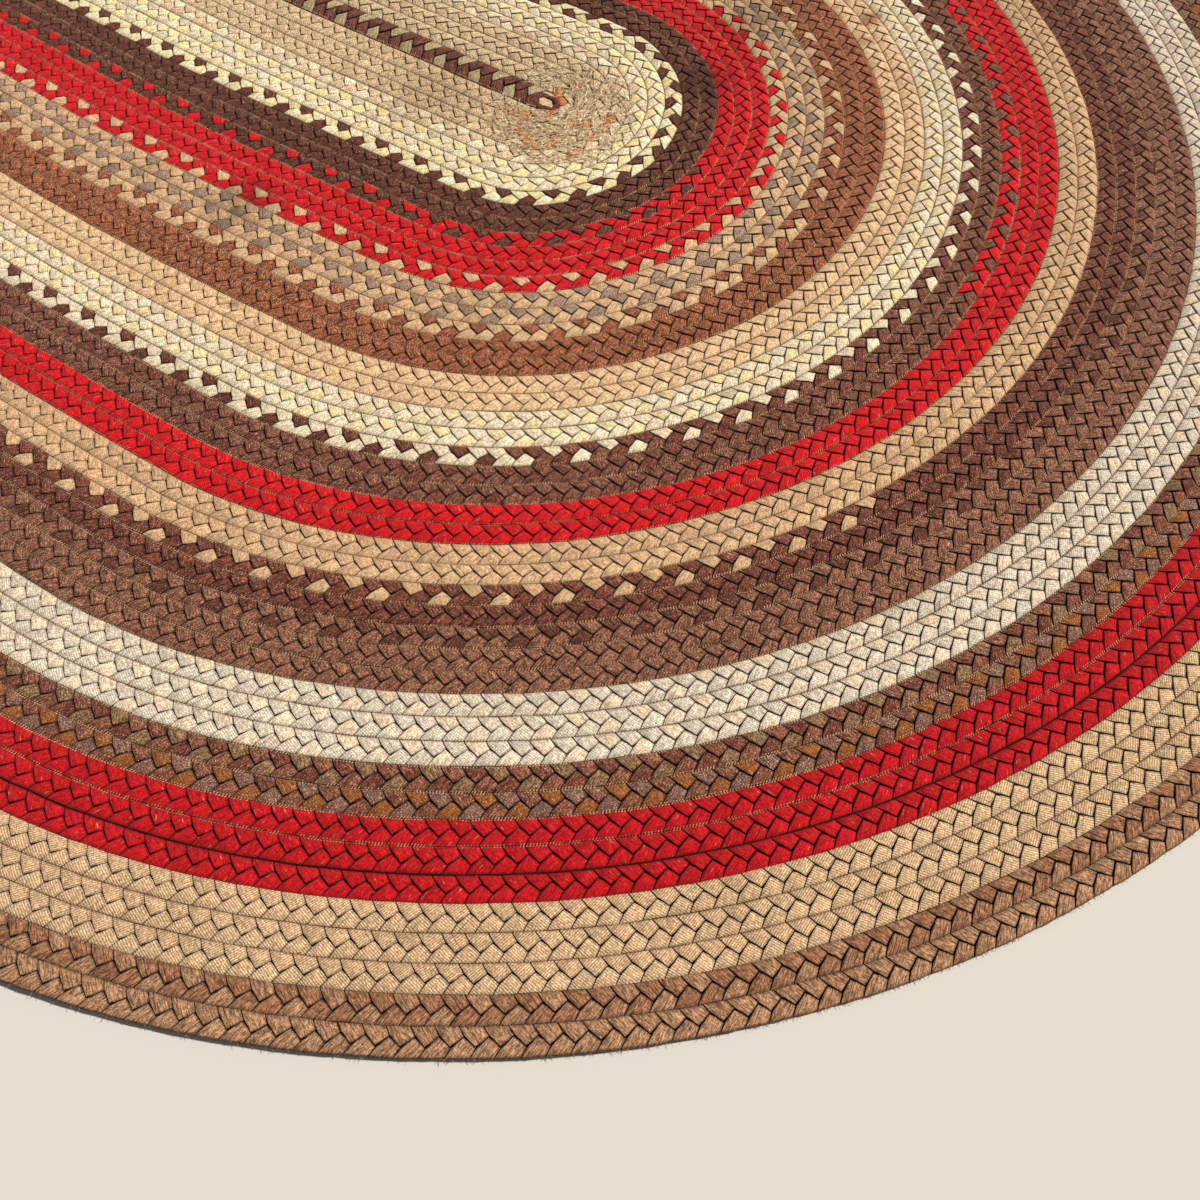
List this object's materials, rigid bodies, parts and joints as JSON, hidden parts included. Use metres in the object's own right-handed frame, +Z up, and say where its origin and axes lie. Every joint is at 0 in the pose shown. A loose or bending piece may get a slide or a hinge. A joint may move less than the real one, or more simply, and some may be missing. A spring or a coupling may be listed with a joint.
{
  "type": "braided rug",
  "caption": "Large oval braided rug: a three-strand wool braid wound in a flat spiral and sewn row to row, in bands of brown, tan, red, cream and rust, with a round butt at its middle.",
  "frame": {"origin": "on the underside, below the middle of the rug's box", "axes": "+X along the oval's long axis, towards the end where the braid's first butt lies; +Z up, out of the worn face"},
  "size_m": [3.6044, 2.7506, 0.0115],
  "materials": {
    "braided_wool": "matte, uneven wool"
  },
  "bodies": {
    "root": {"braided_rug": "braided_wool"}
  },
  "joints": []
}
